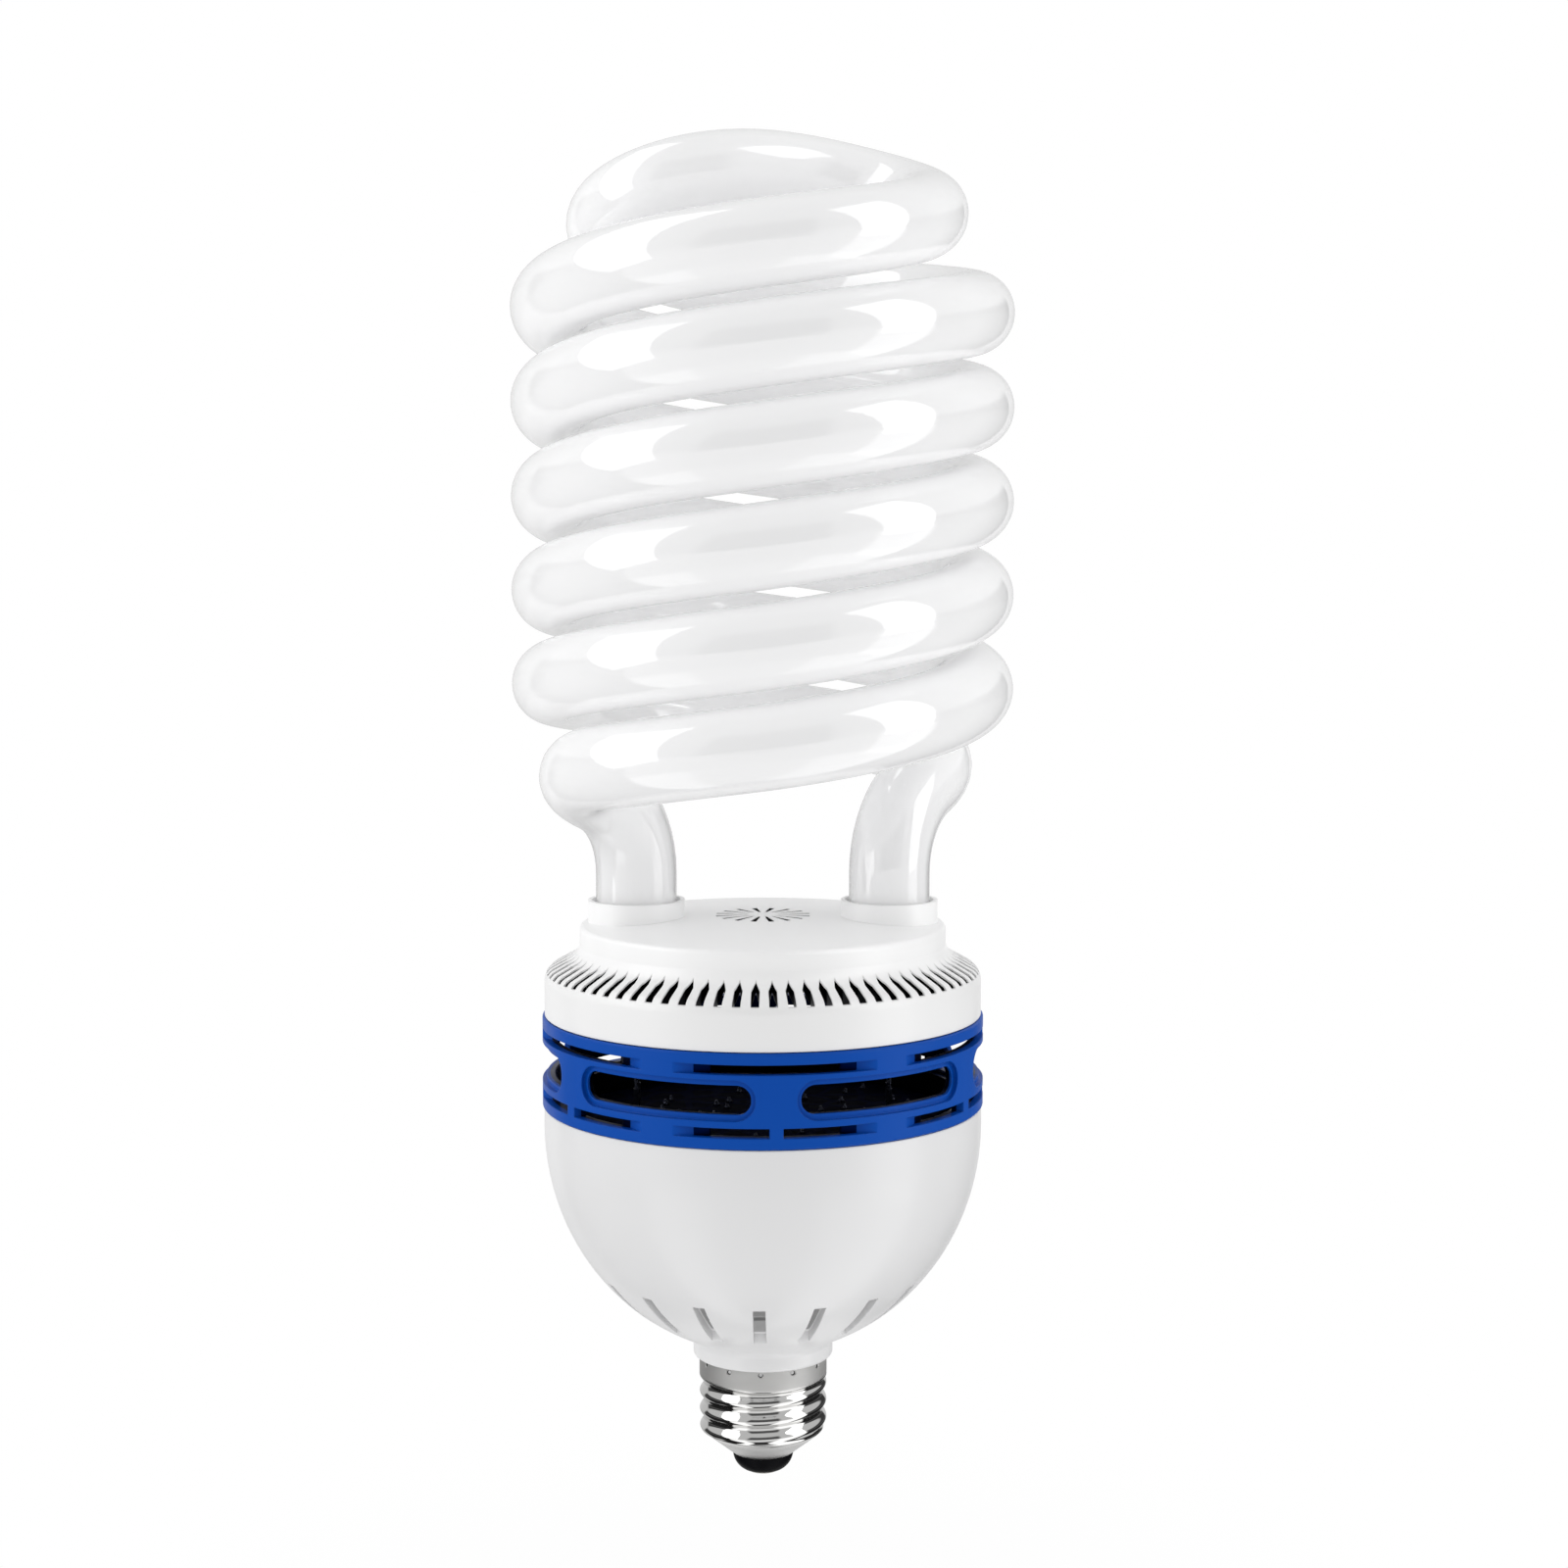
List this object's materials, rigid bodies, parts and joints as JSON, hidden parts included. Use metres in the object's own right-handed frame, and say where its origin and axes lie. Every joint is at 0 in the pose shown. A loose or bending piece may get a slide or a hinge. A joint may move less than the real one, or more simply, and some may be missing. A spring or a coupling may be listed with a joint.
{
  "type": "spiral energy saving lamp with a screw cap",
  "caption": "Compact fluorescent lamp: a glass tube coiled as a double spiral on a vented ballast housing with a blue slotted ring and an Edison screw cap.",
  "frame": {"origin": "middle of the lower face of the cap's centre contact, on the lamp's axis", "axes": "+Z along the lamp's axis from the cap to the crown of the spiral, -Y towards the picture's viewpoint, +X to its right"},
  "size_m": [0.101, 0.101, 0.2727],
  "materials": {
    "coated_glass": "clear glass tube over a white phosphor coat, glossy",
    "white_housing": "white moulded plastic, satin gloss",
    "blue_ring": "royal blue moulded plastic, satin gloss",
    "nickel_shell": "bright nickel-plated pressed sheet",
    "black_insulator": "black vitreous insulator",
    "contact_metal": "tinned contact disc",
    "silicone": "white silicone cement",
    "board_laminate": "dark laminate board, solder side up",
    "capacitor_sleeve": "shrink sleeve over an aluminium can",
    "ferrite": "dark grey sintered ferrite",
    "bobbin_plastic": "moulded bobbin",
    "copper_winding": "enamelled copper wire",
    "package_plastic": "black moulded package",
    "sink_aluminium": "cut aluminium plate",
    "film_body": "dipped film capacitor",
    "resistor_body": "lacquered body",
    "tinned_metal": "tinned wire",
    "wire_sleeve": "insulated lead"
  },
  "bodies": {
    "root": {"bulk_capacitor_left": "capacitor_sleeve", "bulk_capacitor_right": "capacitor_sleeve", "cap_insulator": "black_insulator", "centre_contact": "contact_metal", "choke_bobbin": "bobbin_plastic", "choke_core": "ferrite", "choke_winding": "copper_winding", "circuit_board": "board_laminate", "coupling_capacitor": "film_body", "drive_core": "ferrite", "filament_leads": "tinned_metal", "filter_choke": "copper_winding", "fuse_resistor": "resistor_body", "heat_sink_left": "sink_aluminium", "heat_sink_right": "sink_aluminium", "live_wire": "wire_sleeve", "lower_housing": "white_housing", "neutral_wire": "wire_sleeve", "rectifier_diodes": "package_plastic", "resistors": "resistor_body", "resonance_capacitor": "film_body", "screw_shell": "nickel_shell", "spiral_tube": "coated_glass", "top_cover": "white_housing", "transistor_left": "package_plastic", "transistor_right": "package_plastic", "tube_cement": "silicone", "vent_ring": "blue_ring", "wire_posts": "tinned_metal"}
  },
  "joints": []
}
